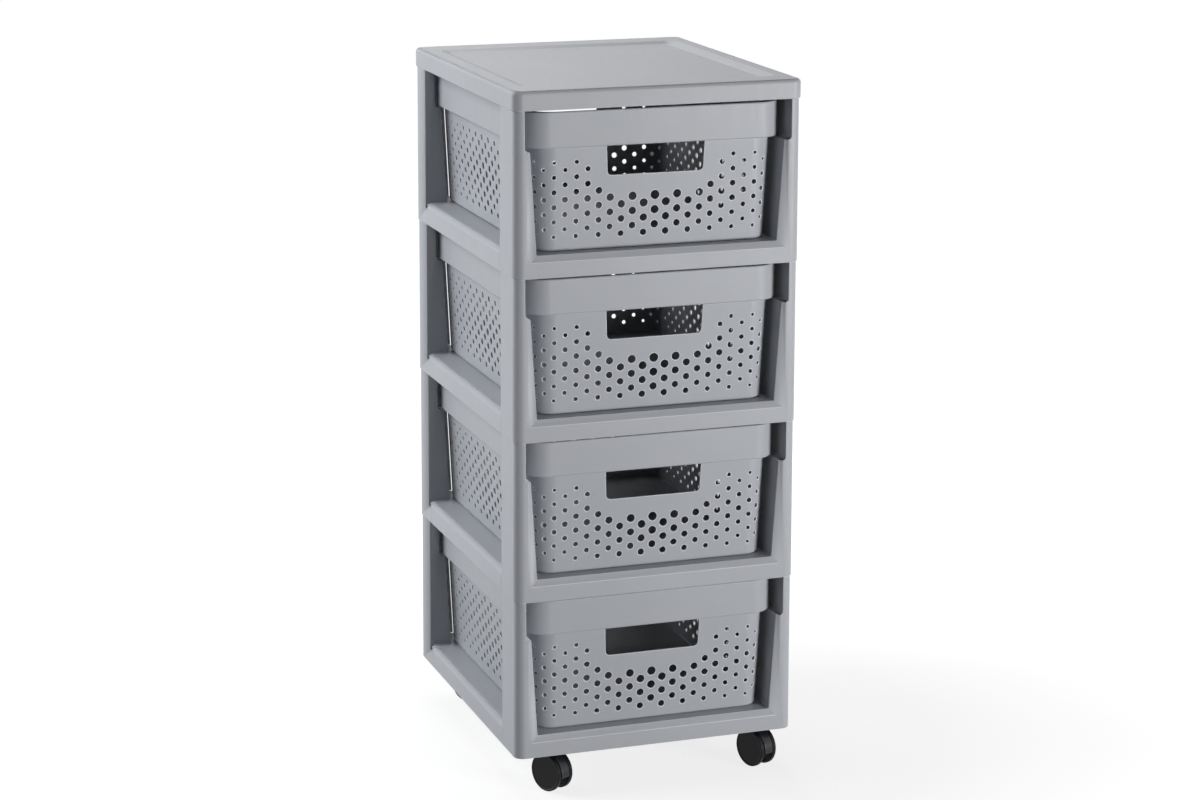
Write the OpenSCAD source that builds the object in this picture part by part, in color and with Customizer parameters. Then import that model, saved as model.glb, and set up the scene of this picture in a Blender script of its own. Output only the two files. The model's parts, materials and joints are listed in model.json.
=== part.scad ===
// Plastic drawer tower: four stacked tiers of frames and side rails, a perforated drawer in each,
// a top cover and four twin-wheel casters. Millimetres, +Z up, front towards -Y.
// The origin is on the floor, under the middle of the tower.

/* [Tower] */
// Width of a frame tier at its bottom edge
tower_w = 300; // [270:1:380]
// Depth of a frame tier at its bottom edge
tower_d = 353; // [290:1:440]
// Height of one tier, from its bottom edge to the bottom edge of the next
tier_h = 165; // [135:1:220]
// Wall of the frame and cover mouldings
frame_wall = 2.5; // [2:0.1:3]
// Radius of the tower's upright corners
corner_r = 10; // [8:0.5:14]
// How far each face of a tier leans in from its bottom to its top
frame_lean = 0.9; // [0:0.1:1.2]

/* [Frame openings] */
// Width of a post's front face beside the drawer's rim
post_face_w = 11.2; // [9:0.1:16]
// Depth of a front post along the tower's side
front_post_d = 49; // [40:1:60]
// Depth of a back post along the tower's side
back_post_d = 38; // [34:1:60]
// Height of the deck that the drawer rests on, above the tier's bottom edge
ring_h = 22.5; // [20:0.5:30]
// Width of the deck, in from each face
ring_w = 46; // [42:1:56]
// Height of the bevelled strip above each rail's flat front face
bevel_h = 6.5; // [3:0.5:8]
// How far the bevelled strips run in from the front face
bevel_in = 4.4; // [2:0.1:5]
// Inset of the drawer guide from the tower's side, at the deck
guide_low_in = 24; // [20:0.5:28]
// Inset of the drawer guide from the tower's side, under its ledge
guide_high_in = 17.6; // [15:0.1:20]
// Radius where the ledge meets the post, and of the front opening's lower corners
ledge_r = 4; // [2:0.5:4]
// Height of the spigots that locate a tier in the one above
spigot_h = 9; // [6:0.5:12]

/* [Top cover] */
// Height of the cover
cover_h = 19.4; // [16:0.2:28]
// How far the cover stands out past a tier's bottom edge
cover_over = 0.5; // [0:0.1:1]
// Radius along the cover's top edge
cover_edge_r = 4; // [2:0.5:5]
// Depth of the shallow tray in the cover's top
tray_depth = 2.5; // [1:0.1:3]
// Width of the slope round the tray
tray_slope_w = 11; // [4:0.5:12]
// Flat border beside the tray
tray_side_in = 17.5; // [14:0.5:30]
// Flat border in front of the tray and behind it
tray_end_in = 30; // [20:0.5:50]

/* [Drawer] */
// Wall of a drawer
drawer_wall = 2; // [1.6:0.1:2.6]
// Height of the rim band
rim_h = 35.9; // [28:0.1:42]
// Plan radius of the rim's corners
rim_r = 25; // [18:0.5:27]
// Radius along the rim's edges
rim_edge_r = 1.5; // [0.5:0.1:2]
// Thickness of the rim's outer skin beside its side pockets
rim_skin = 2; // [1.6:0.1:2.6]
// Distance from a post's front face back to the rim
rim_setback = 10; // [6:0.5:16]
// How far the body lies behind the rim's front face, at the drawer's floor
body_setback = 7.1; // [5:0.1:10]
// Plan radius of the body's corners, at the drawer's floor
body_r = 19; // [16:0.5:26]
// Radius along the body's bottom edge
body_edge_r = 3; // [2:0.5:4]
// Outward lean of the body's walls, in millimetres for each millimetre of height
body_lean = 0.047; // [0.02:0.001:0.06]
// Width of the hand-hold at its top
grip_w = 102; // [80:1:120]
// Height of the hand-hold
grip_h = 29.4; // [20:0.2:34]
// Radius of the hand-hold's lower corners
grip_r = 4.5; // [2:0.5:8]

/* [Drawer holes] */
// Distance between columns of holes in the front and back
front_pitch = 11.7; // [10.5:0.1:14]
// Distance between columns of holes in the sides
side_pitch = 10.93; // [9.5:0.01:14]
// Distance between neighbouring rows of one column
row_pitch = 14.8; // [13:0.1:18]
// Diameter of the middle hole of the front and back
front_hole_d = 9.2; // [7:0.1:9.4]
// Loss of diameter for each step away from the middle of the front and back
front_fade = 0.85; // [0.4:0.01:0.88]
// Diameter of the middle hole of a side
side_hole_d = 7.6; // [6:0.1:8]
// Loss of diameter for each step away from the middle of a side
side_fade = 0.55; // [0.2:0.01:0.58]

/* [Casters] */
// Radius of a wheel
wheel_r = 20; // [16:0.5:26]
// Width of a wheel
wheel_w = 4.6; // [4.2:0.1:6]
// Width of the hood between the wheels
hood_w = 10.6; // [10.4:0.1:14]
// Distance from the swivel axis to the axle
trail = 15; // [13.5:0.1:16]
// Turn of each caster from straight ahead: front left, front right, back left, back right
caster_turns = [26, 20, 24, 24]; // [0:1:359]
// Distance of the swivel axes from the tower's side
caster_in_x = 37; // [30:0.5:39]
// Distance of the swivel axes from the tower's front and back
caster_in_y = 31; // [28:0.5:38]
// Radius of the swivel pin
pin_r = 3; // [2.5:0.1:3.2]
// Radius of the stem in its socket
stem_r = 4; // [3.5:0.1:4.5]
// Radius of the axle
axle_r = 2; // [1.5:0.1:2.5]

/* [Clearances] */
// Gap between the tops of the wheels and the lowest tier
caster_gap = 2; // [1.6:0.1:12]
// Gap between a resting piece and its seat
seat_gap = 0.3; // [0.2:0.05:0.5]
// Gap between a spigot and the wall round it
spigot_gap = 0.3; // [0.2:0.05:0.6]
// Gap between the drawer's rim and what is above it
rim_top_gap = 3.3; // [2:0.1:5]
// Gap beside the drawer's rim
rim_side_gap = 4.1; // [2:0.1:5]
// Gap beside the drawer's floor
body_side_gap = 4.3; // [2:0.1:6]
// Gap between the rim and the ledge below it
ledge_gap = 1.8; // [1:0.1:3]
// Radial gap of a turning pin
turn_gap = 0.05; // [0.03:0.01:0.1]
// Radial gap of a pressed pin
press_gap = 0.02; // [0.01:0.01:0.03]
// Gap between a wheel and the hood
wheel_gap = 0.4; // [0.3:0.1:0.8]

/* [Hidden] */
tier_count = 4;
CORNERS = ["front_left", "front_right", "back_left", "back_right"];
CASTER_PIECES = ["stem", "hood", "axle", "left_wheel", "right_wheel"];
TIER_PIECES = ["front_frame", "back_frame", "left_rail", "right_rail"];
$fn = 64;
over = 1;              // how far a cutter runs past the face that it opens
grey = [0.70, 0.71, 0.74];
drawer_grey = [0.66, 0.67, 0.70];
black = [0.11, 0.12, 0.13];
steel = [0.75, 0.76, 0.78];

// Frame
opening_half = tower_w / 2 - post_face_w;
guide_low_half = tower_w / 2 - guide_low_in;
guide_high_half = tower_w / 2 - guide_high_in;
rim_z = tier_h - rim_top_gap - rim_h;
ledge_z = rim_z - ledge_gap;
deck_wall_z = ring_h - frame_wall;
rail_edge_r = bevel_h; // rounding along the outer top edge of a side rail
rib_w = 1.8;
rib_pitch = 50;
rib_z = 6;             // how far the ribs stay above the tier's bottom edge
rib_free_end = 10;     // length at each end of a rail without ribs
// Width of the bevelled strip at the front face, at the deck and under the ledge
bevel_low_w = 11;
bevel_high_w = 5.6;
bevel_low_x = guide_low_half + bevel_low_w;
bevel_high_x = guide_high_half + bevel_high_w;
// The end frames reach past their posts and past the deck's middle opening
front_join = max(front_post_d, ring_w + 2);
back_join = max(back_post_d, ring_w + 2);
tongue_w = 16;
tongue_h = 8;
tongue_l = 7;          // how far a side rail's tongue reaches into the end frame
spigot_root = 15;      // how far the spigots reach down inside the posts
spigot_short = 4;      // how much they stop short of the post's web
socket_wall = 2.5;
socket_depth = 18;

// Drawer
drawer_h = tier_h - ring_h - seat_gap - rim_top_gap;
rim_low = drawer_h - rim_h;
rim_w = 2 * (opening_half - rim_side_gap);
rim_d = tower_d - 2 * rim_setback;
body_w = 2 * (guide_low_half - body_side_gap);
body_d = rim_d - 2 * body_setback;
floor_t = 2.5;
pocket_wall = 0.8;     // least wall between a side pocket and the drawer's body
pocket_w = rim_w / 2 - rim_skin - (body_w / 2 + body_lean * drawer_h) - pocket_wall;
pocket_inset = 35;     // solid length of the rim beyond each end of a side pocket
grip_lean = 1;         // how much each side of the hand-hold closes in towards its bottom

// Holes
front_columns = floor((body_w / 2 - body_r) / front_pitch);
side_columns = floor((body_d / 2 - body_r) / side_pitch);
plain_end = 13.5;      // band without holes above the floor and below the rim
half_rows = floor((rim_low / 2 - plain_end) / (row_pitch / 2));
corner_angle = 6;      // first corner column, from the front wall's direction
corner_step = 27;      // angle between corner columns
corner_columns = 3;
plain_under_grip = 15; // band without holes below the hand-hold
plain_beside_grip = 9; // strip without holes past each end of the hand-hold
plain_end_rise = 8;    // how far that strip reaches below the hand-hold
least_hole_d = 1.8;

// Casters
caster_h = 2 * wheel_r + caster_gap; // height of the lowest tier's bottom edge
hood_r = wheel_r + 0.4;
hood_shell = 1.8;
hood_low = 2.8;        // how far the hood reaches below the axle
hood_chamfer = 0.6;
web_w = 2.4;
hub_r = 4.6;
boss_r = 5.2;
collar_t = 0.8;
collar_r = 6.5;
boss_top = caster_h - collar_t - seat_gap;
pin_above_axle = 6;    // how far above the axle's middle the swivel pin begins
pin_low = wheel_r + pin_above_axle;
bead_extra = 0.4;
bead_h = 1.4;
stem_in = 16;
stem_tip = 1.5;
wheel_face_t = 1.8;
wheel_rim_t = 2.4;
wheel_edge_r = 1;
wheel_dish = 0.5;
axle_half = hood_w / 2 + wheel_gap + wheel_w - wheel_face_t - seat_gap;

// Straight prism with rounded upright corners, centred on the origin
module rounded_prism(w, d, h, r) {
    for (sx = [-1, 1], sy = [-1, 1])
        translate([sx * (w / 2 - r), sy * (d / 2 - r), 0]) cylinder(h = h, r = r);
    translate([-w / 2, -d / 2 + r, 0]) cube([w, d - 2 * r, h]);
    translate([-w / 2 + r, -d / 2, 0]) cube([w - 2 * r, d, h]);
}

// The same with leaning walls: each face moves out by grow from the bottom to the top
module leaning_prism(w, d, h, r, grow) {
    for (sx = [-1, 1], sy = [-1, 1])
        translate([sx * (w / 2 - r), sy * (d / 2 - r), 0])
            cylinder(h = h, r1 = r, r2 = r + grow);
    rotate([90, 0, 0]) linear_extrude(d - 2 * r, center = true)
        polygon([[-w / 2, 0], [w / 2, 0], [w / 2 + grow, h], [-w / 2 - grow, h]]);
    rotate([90, 0, 90]) linear_extrude(w - 2 * r, center = true)
        polygon([[-d / 2, 0], [d / 2, 0], [d / 2 + grow, h], [-d / 2 - grow, h]]);
}

// Solid whose outer wall has the half profile given as the child: the child's x runs out from the
// corner's axis, where r is the nominal face, and it is at least h high there
module swept_solid(w, d, r, h) {
    for (sx = [0, 1], sy = [0, 1])
        mirror([sx, 0, 0]) mirror([0, sy, 0])
            translate([w / 2 - r, d / 2 - r, 0]) rotate_extrude(angle = 90) children();
    rotate([90, 0, 0]) linear_extrude(d - 2 * r, center = true)
        full_section(w - 2 * r, h) children();
    rotate([90, 0, 90]) linear_extrude(w - 2 * r, center = true)
        full_section(d - 2 * r, h) children();
}

module full_section(inner, h) {
    for (side = [0, 1]) mirror([side, 0]) translate([inner / 2, 0]) children();
    translate([-inner / 2, 0]) square([inner, h]);
}

module both_ends() {
    children();
    mirror([0, 1, 0]) children();
}

module four_corners() {
    for (sx = [0, 1], sy = [0, 1]) mirror([sx, 0, 0]) mirror([0, sy, 0]) children();
}

// Outer form of a tier up to height h, moved in by inset
module tier_form(inset, h) {
    leaning_prism(tower_w - 2 * inset, tower_d - 2 * inset, h, corner_r - inset,
        -frame_lean * h / tier_h);
}

// Front opening as seen from the front: wide above the ledges, narrowing down to the deck
module opening_outline() {
    top = tier_h + spigot_h + over;
    difference() {
        polygon([
            [-guide_low_half, ring_h], [guide_low_half, ring_h],
            [guide_high_half, ledge_z], [opening_half, ledge_z], [opening_half, top],
            [-opening_half, top], [-opening_half, ledge_z], [-guide_high_half, ledge_z]
        ]);
        for (side = [0, 1]) mirror([side, 0])
            translate([opening_half - ledge_r, ledge_z]) difference() {
                square(ledge_r);
                translate([0, ledge_r]) circle(ledge_r);
            }
    }
}

// Bevelled strip's outline where it meets the front face
module bevel_outline() {
    low = ring_h - bevel_h + ledge_r;
    for (side = [-1, 1]) translate([side * (bevel_low_x - ledge_r), low]) circle(ledge_r, $fn = 32);
    polygon([[-bevel_low_x, low], [bevel_low_x, low], [bevel_high_x, ledge_z],
        [-bevel_high_x, ledge_z]]);
}

// Bevel round the lower part of the opening at the front, mitred at its corners
module opening_bevel() {
    thin = 0.01;
    translate([0, -tower_d / 2, 0]) rotate([90, 0, 0]) hull() {
        for (out = [0, over]) translate([0, 0, out]) linear_extrude(thin) bevel_outline();
        translate([0, 0, -bevel_in]) linear_extrude(thin)
            polygon([[-guide_low_half, ring_h], [guide_low_half, ring_h],
                [guide_high_half, ledge_z], [-guide_high_half, ledge_z]]);
    }
}

// Windows in both sides, with the rounded outer edge of the rail below them
module side_windows(post_d) {
    rotate([90, 0, 0]) linear_extrude(tower_d - 2 * post_d, center = true) {
        translate([-tower_w / 2 - over, ring_h])
            square([tower_w + 2 * over, tier_h + spigot_h]);
        for (side = [0, 1]) mirror([side, 0])
            translate([tower_w / 2 - rail_edge_r, ring_h - rail_edge_r]) difference() {
                square(rail_edge_r + over);
                circle(rail_edge_r);
            }
    }
}

// Hollow of the two back posts: closed by a web towards the window, and open at the top
module post_hollows(post_d) {
    far = tower_w / 2 + over;
    top = tier_h + over;
    inner_low = guide_low_half + frame_wall;
    inner_high = guide_high_half + frame_wall;
    ledge_low = ledge_z - frame_wall;
    upper = opening_half + frame_wall;
    intersection() {
        tier_form(frame_wall, tier_h + over);
        for (side = [0, 1]) mirror([side, 0, 0]) {
            translate([0, tower_d / 2 - bevel_in - frame_wall, 0]) rotate([90, 0, 0])
                linear_extrude(post_d - bevel_in - 2 * frame_wall)
                    polygon([[far, ring_h], [inner_low, ring_h], [inner_high, ledge_low],
                        [upper, ledge_low], [upper, top], [far, top]]);
            translate([0, tower_d / 2, 0]) rotate([90, 0, 0]) linear_extrude(post_d - frame_wall)
                polygon([[far, ring_h], [bevel_low_x + over, ring_h],
                    [bevel_high_x + over, ledge_low], [upper, ledge_low], [upper, top],
                    [far, top]]);
        }
    }
}

// Channel under the deck, between the outer skirt and the edge of the middle opening, with a wall on
// both sides of each join
module ring_channel(joins) {
    bend_z = deck_wall_z - 6;
    bend_in = 4.5;
    difference() {
        union() {
            translate([0, 0, -over])
                rounded_prism(tower_w - 2 * frame_wall, tower_d - 2 * frame_wall, bend_z + over,
                    corner_r - frame_wall);
            translate([0, 0, bend_z])
                leaning_prism(tower_w - 2 * frame_wall, tower_d - 2 * frame_wall,
                    deck_wall_z - bend_z, corner_r - frame_wall, -bend_in);
        }
        translate([0, 0, -2 * over])
            rounded_prism(tower_w - 2 * (ring_w - frame_wall), tower_d - 2 * (ring_w - frame_wall),
                ring_h + 3 * over, corner_r + frame_wall);
        channel_ribs();
        for (y = joins) translate([-tower_w, y - frame_wall, -2 * over])
            cube([2 * tower_w, 2 * frame_wall, ring_h]);
        four_corners() translate([tower_w / 2 - caster_in_x, tower_d / 2 - caster_in_y, -2 * over])
            cylinder(h = ring_h, r = stem_r + press_gap + socket_wall);
    }
}

module channel_ribs() {
    x_ribs = floor((tower_w / 2 - ring_w - rib_free_end) / rib_pitch + 0.5);
    y_ribs = floor((tower_d / 2 - ring_w - rib_free_end) / rib_pitch);
    for (i = [1:x_ribs], side = [-1, 1])
        translate([side * (i - 0.5) * rib_pitch - rib_w / 2, -tower_d / 2, rib_z])
            cube([rib_w, tower_d, ring_h]);
    for (i = [-y_ribs:y_ribs])
        translate([-tower_w / 2, i * rib_pitch - rib_w / 2, rib_z])
            cube([tower_w, rib_w, ring_h]);
}

// Thin walls on top of the two back posts that stand inside the piece above
module spigots(post_d) {
    inset = frame_wall + spigot_gap;
    inner = inset + frame_wall;
    end_y = tower_d / 2 - post_d + spigot_short;
    height = spigot_root + spigot_h;
    translate([0, 0, tier_h - spigot_root]) {
        difference() {
            rounded_prism(tower_w - 2 * inset, tower_d - 2 * inset, height, corner_r - inset);
            translate([0, 0, -over])
                rounded_prism(tower_w - 2 * inner, tower_d - 2 * inner, height + 2 * over,
                    corner_r - inner);
            translate([-opening_half, -tower_d, -over])
                cube([2 * opening_half, 2 * tower_d, height + 2 * over]);
            translate([-tower_w, -tower_d, -over])
                cube([2 * tower_w, tower_d + end_y, height + 2 * over]);
        }
        for (side = [0, 1]) mirror([side, 0, 0]) translate([opening_half, end_y, 0])
            cube([frame_wall, tower_d / 2 - inset - end_y, height]);
    }
}

// Tongues at both ends of the side rails, grown by a gap to make their slots
module rail_tongues(gap) {
    for (side = [-1, 1], y = [front_join - tower_d / 2, tower_d / 2 - back_join])
        translate([side * (tower_w - ring_w) / 2 - tongue_w / 2 - gap, y - tongue_l - gap,
                rib_z - gap])
            cube([tongue_w + 2 * gap, 2 * (tongue_l + gap), tongue_h + 2 * gap]);
}

// One tier's outer form with its openings and deck, before it is parted
module tier_shell(post_d, joins) {
    difference() {
        tier_form(0, tier_h);
        translate([0, -tower_d, 0]) rotate([-90, 0, 0]) mirror([0, 1, 0])
            linear_extrude(2 * tower_d) opening_outline();
        side_windows(post_d);
        translate([0, 0, -over])
            rounded_prism(tower_w - 2 * ring_w, tower_d - 2 * ring_w, ring_h + 2 * over, corner_r);
        ring_channel(joins);
        four_corners() translate([tower_w / 2 - caster_in_x, tower_d / 2 - caster_in_y, -over])
            cylinder(h = socket_depth + over, r = stem_r + press_gap);
    }
}

// Frame at one end of a tier: a rail and its two posts
module end_frame(post_d, join) {
    difference() {
        intersection() {
            tier_shell(post_d, [join]);
            translate([-tower_w, join, -over]) cube([2 * tower_w, tower_d, 2 * tier_h]);
        }
        mirror([0, 1, 0]) opening_bevel();
        post_hollows(post_d);
    }
    spigots(post_d);
}

// Rail along one side of a tier, with a tongue at each end
module side_rail(side) {
    intersection() {
        union() {
            intersection() {
                tier_shell(0, [front_join - tower_d / 2, tower_d / 2 - back_join]);
                translate([-tower_w, front_join - tower_d / 2, -over])
                    cube([2 * tower_w, tower_d - front_join - back_join, 2 * tier_h]);
            }
            rail_tongues(0);
        }
        translate([side < 0 ? -tower_w : 0, -tower_d, -tier_h]) cube([tower_w, 2 * tower_d, 3 * tier_h]);
    }
}

module tier_piece(tier, piece) {
    color(grey) translate([0, 0, caster_h + (tier - 1) * tier_h]) {
        if (piece == "front_frame") difference() {
            mirror([0, 1, 0]) end_frame(front_post_d, tower_d / 2 - front_join);
            rail_tongues(seat_gap);
        }
        if (piece == "back_frame") difference() {
            end_frame(back_post_d, tower_d / 2 - back_join);
            rail_tongues(seat_gap);
        }
        if (piece == "left_rail") side_rail(-1);
        if (piece == "right_rail") side_rail(1);
    }
}

// Half profile of the cover's wall, with its rounded top edge
module cover_profile() {
    square([corner_r - cover_edge_r, cover_h]);
    square([corner_r, cover_h - cover_edge_r]);
    translate([corner_r - cover_edge_r, cover_h - cover_edge_r]) circle(cover_edge_r);
}

// Tray form whose upper edge lies at the cover's border, moved out and down by the cover's wall
module tray_form(out) {
    slope = tray_slope_w / tray_depth;
    low_r = 2;
    w = tower_w + 2 * (cover_over - tray_side_in - tray_slope_w + out);
    d = tower_d + 2 * (cover_over - tray_end_in - tray_slope_w + out);
    translate([0, 0, cover_h - tray_depth - out])
        leaning_prism(w, d, tray_depth + out + over, low_r + out, slope * (tray_depth + over));
}

module cover_ribs() {
    for (x = [-1:1]) translate([x * tower_w / 4 - rib_w / 2, -tower_d / 2, cover_h / 2])
        cube([rib_w, tower_d, cover_h]);
    for (y = [-2:2]) translate([-tower_w / 2, y * tower_d / 6 - rib_w / 2, cover_h / 2])
        cube([tower_w, rib_w, cover_h]);
}

module top_cover() {
    w = tower_w + 2 * cover_over;
    d = tower_d + 2 * cover_over;
    color(grey) translate([0, 0, caster_h + tier_count * tier_h]) difference() {
        swept_solid(w, d, corner_r, cover_h) cover_profile();
        tray_form(0);
        difference() {
            translate([0, 0, -over])
                rounded_prism(w - 2 * frame_wall, d - 2 * frame_wall, cover_h - frame_wall + over,
                    corner_r - frame_wall);
            tray_form(frame_wall);
            cover_ribs();
        }
    }
}

// Half profile of the drawer's body, moved in by inset from its outer face
module body_profile(inset, h) {
    r = body_r - inset;
    e = body_edge_r - inset / 2;
    difference() {
        polygon([[0, 0], [r, 0], [r + body_lean * h, h], [0, h]]);
        translate([r - e, 0]) difference() {
            square(e + over);
            translate([0, e]) circle(e);
            translate([-over, e]) square([e + 3 * over, e]);
        }
    }
}

// Half profile of the rim band, with its rounded edges
module rim_profile() {
    e = rim_edge_r;
    square([rim_r - e, rim_h]);
    translate([0, e]) square([rim_r, rim_h - 2 * e]);
    for (z = [e, rim_h - e]) translate([rim_r - e, z]) circle(e, $fn = 32);
}

module grip_outline() {
    half = grip_w / 2;
    low = rim_low - grip_h;
    difference() {
        polygon([[-half + grip_lean, low], [half - grip_lean, low], [half, rim_low],
            [-half, rim_low]]);
        for (side = [0, 1]) mirror([side, 0])
            translate([half - grip_lean - grip_r, low]) difference() {
                translate([0, -over]) square([grip_r + over, grip_r + over]);
                translate([0, grip_r]) circle(grip_r);
            }
    }
}

function hole_z(m) = rim_low / 2 - m * row_pitch / 2;
function hole_d(largest, fade, c, m) = max(least_hole_d, largest - fade * (abs(c) + abs(m)) / 2);
function clears_grip(x, z) =
    !(x < grip_w / 2 && z > rim_low - grip_h - plain_under_grip)
    && !(x < grip_w / 2 + plain_beside_grip && z > rim_low - grip_h - plain_end_rise);

module hole(d) {
    cylinder(h = 12, d = d, center = true, $fn = 24);
}

// Staggered columns of holes, largest in the middle of each wall and shrinking towards its ends
module drawer_holes() {
    for (m = [-half_rows:half_rows]) {
        z = hole_z(m);
        for (c = [-front_columns:front_columns])
            if ((c + m) % 2 == 0 && clears_grip(abs(c) * front_pitch, z))
                both_ends() translate([c * front_pitch, body_d / 2 + body_lean * z, z])
                    rotate([90, 0, 0]) hole(hole_d(front_hole_d, front_fade, c, m));
        for (c = [-side_columns:side_columns], side = [-1, 1])
            if ((c + m) % 2 == 0)
                translate([side * (body_w / 2 + body_lean * z), c * side_pitch, z])
                    rotate([0, 90, 0]) hole(hole_d(side_hole_d, side_fade, c, m));
        for (k = [1:corner_columns])
            if ((front_columns + k + m) % 2 == 0)
                four_corners() translate([body_w / 2 - body_r, body_d / 2 - body_r, z])
                    rotate([0, 0, 90 - corner_angle - (k - 1) * corner_step])
                        translate([body_r + body_lean * z, 0, 0]) rotate([0, 90, 0])
                            hole(hole_d(front_hole_d, front_fade, front_columns + k, m));
    }
}

module drawer(tier) {
    pocket_l = rim_d - 2 * pocket_inset;
    color(drawer_grey) translate([0, 0, caster_h + (tier - 1) * tier_h + ring_h + seat_gap])
        difference() {
            union() {
                swept_solid(body_w, body_d, body_r, rim_low + over) body_profile(0, rim_low + over);
                translate([0, 0, rim_low]) swept_solid(rim_w, rim_d, rim_r, rim_h) rim_profile();
            }
            translate([0, 0, floor_t])
                swept_solid(body_w - 2 * drawer_wall, body_d - 2 * drawer_wall, body_r - drawer_wall,
                    drawer_h) body_profile(drawer_wall, drawer_h);
            for (side = [0, 1]) mirror([side, 0, 0])
                translate([rim_w / 2 - rim_skin - pocket_w, -pocket_l / 2, rim_low - over])
                    cube([pocket_w, pocket_l, rim_h - drawer_wall + over]);
            rotate([90, 0, 0]) linear_extrude(2 * rim_d, center = true) grip_outline();
            drawer_holes();
        }
}

// Places a caster piece: the swivel axis is the child's z axis and the wheels trail along its -y
module at_caster(corner) {
    x = (corner % 2 == 0 ? -1 : 1) * (tower_w / 2 - caster_in_x);
    y = (corner < 2 ? -1 : 1) * (tower_d / 2 - caster_in_y);
    translate([x, y, 0]) rotate([0, 0, caster_turns[corner]]) children();
}

// Turns a piece made along z to lie along the axle
module on_axle() {
    translate([0, -trail, wheel_r]) rotate([0, 90, 0]) children();
}

module caster_stem() {
    color(steel) rotate_extrude() polygon([
        [0, pin_low], [pin_r, pin_low], [pin_r, pin_low + bead_h],
        [pin_r + bead_extra, pin_low + bead_h], [pin_r + bead_extra, pin_low + 2 * bead_h],
        [pin_r, pin_low + 2 * bead_h], [pin_r, caster_h - collar_t],
        [collar_r, caster_h - collar_t], [collar_r, caster_h], [stem_r, caster_h],
        [stem_r, caster_h + stem_in - stem_tip], [stem_r - stem_tip, caster_h + stem_in],
        [0, caster_h + stem_in]
    ]);
}

module hood_shell_profile() {
    half = hood_w / 2;
    polygon([
        [hood_r - hood_shell, -half], [hood_r - hood_chamfer, -half],
        [hood_r, -half + hood_chamfer], [hood_r, half - hood_chamfer],
        [hood_r - hood_chamfer, half], [hood_r - hood_shell, half]
    ]);
}

module caster_hood() {
    color(black) difference() {
        union() {
            difference() {
                on_axle() {
                    rotate_extrude() hood_shell_profile();
                    cylinder(h = web_w, r = hood_r - hood_shell / 2, center = true);
                }
                translate([-hood_w, -trail - 2 * hood_r, -over])
                    cube([2 * hood_w, 4 * hood_r, wheel_r - hood_low + over]);
            }
            on_axle() cylinder(h = hood_w, r = hub_r, center = true);
            translate([0, 0, wheel_r - hood_low])
                cylinder(h = boss_top - wheel_r + hood_low, r = boss_r);
        }
        on_axle() cylinder(h = hood_w + 2 * over, r = axle_r + press_gap, center = true);
        translate([0, 0, pin_low - seat_gap])
            cylinder(h = caster_h, r = pin_r + turn_gap);
        translate([0, 0, pin_low + bead_h - seat_gap])
            cylinder(h = bead_h + 2 * seat_gap, r = pin_r + bead_extra + turn_gap);
    }
}

module caster_axle() {
    color(steel) on_axle() cylinder(h = 2 * axle_half, r = axle_r, center = true);
}

// Wheel with its inner side at z = 0: a dished face, a rim that carries the tread, and a hub
module wheel() {
    e = wheel_edge_r;
    rotate_extrude() difference() {
        union() {
            square([wheel_r - e, wheel_w]);
            translate([0, 0.5 * e]) square([wheel_r, wheel_w - 1.5 * e]);
            translate([wheel_r - e, wheel_w - e]) circle(e);
        }
        translate([hub_r, -over])
            square([wheel_r - wheel_rim_t - hub_r, wheel_w - wheel_face_t + over]);
        translate([0, wheel_w - wheel_dish])
            polygon([[0, 0], [wheel_r - wheel_rim_t, 0], [wheel_r - wheel_rim_t + over, over],
                [0, over]]);
        translate([0, -over]) square([axle_r + turn_gap, wheel_w - wheel_face_t + over]);
    }
}

module caster_wheel(side) {
    color(black) on_axle() mirror([0, 0, side < 0 ? 1 : 0])
        translate([0, 0, hood_w / 2 + wheel_gap]) wheel();
}

module caster_piece(piece) {
    if (piece == "stem") caster_stem();
    if (piece == "hood") caster_hood();
    if (piece == "axle") caster_axle();
    if (piece == "left_wheel") caster_wheel(-1);
    if (piece == "right_wheel") caster_wheel(1);
}

top_cover();
for (tier = [1:tier_count]) {
    for (piece = TIER_PIECES)
        tier_piece(tier, piece);
    drawer(tier);
}
for (corner = [0:3], piece = CASTER_PIECES)
    at_caster(corner) caster_piece(piece);
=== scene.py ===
import json
import math

import bmesh
import bpy
from mathutils import Matrix, Vector
from mathutils.geometry import delaunay_2d_cdt


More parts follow.
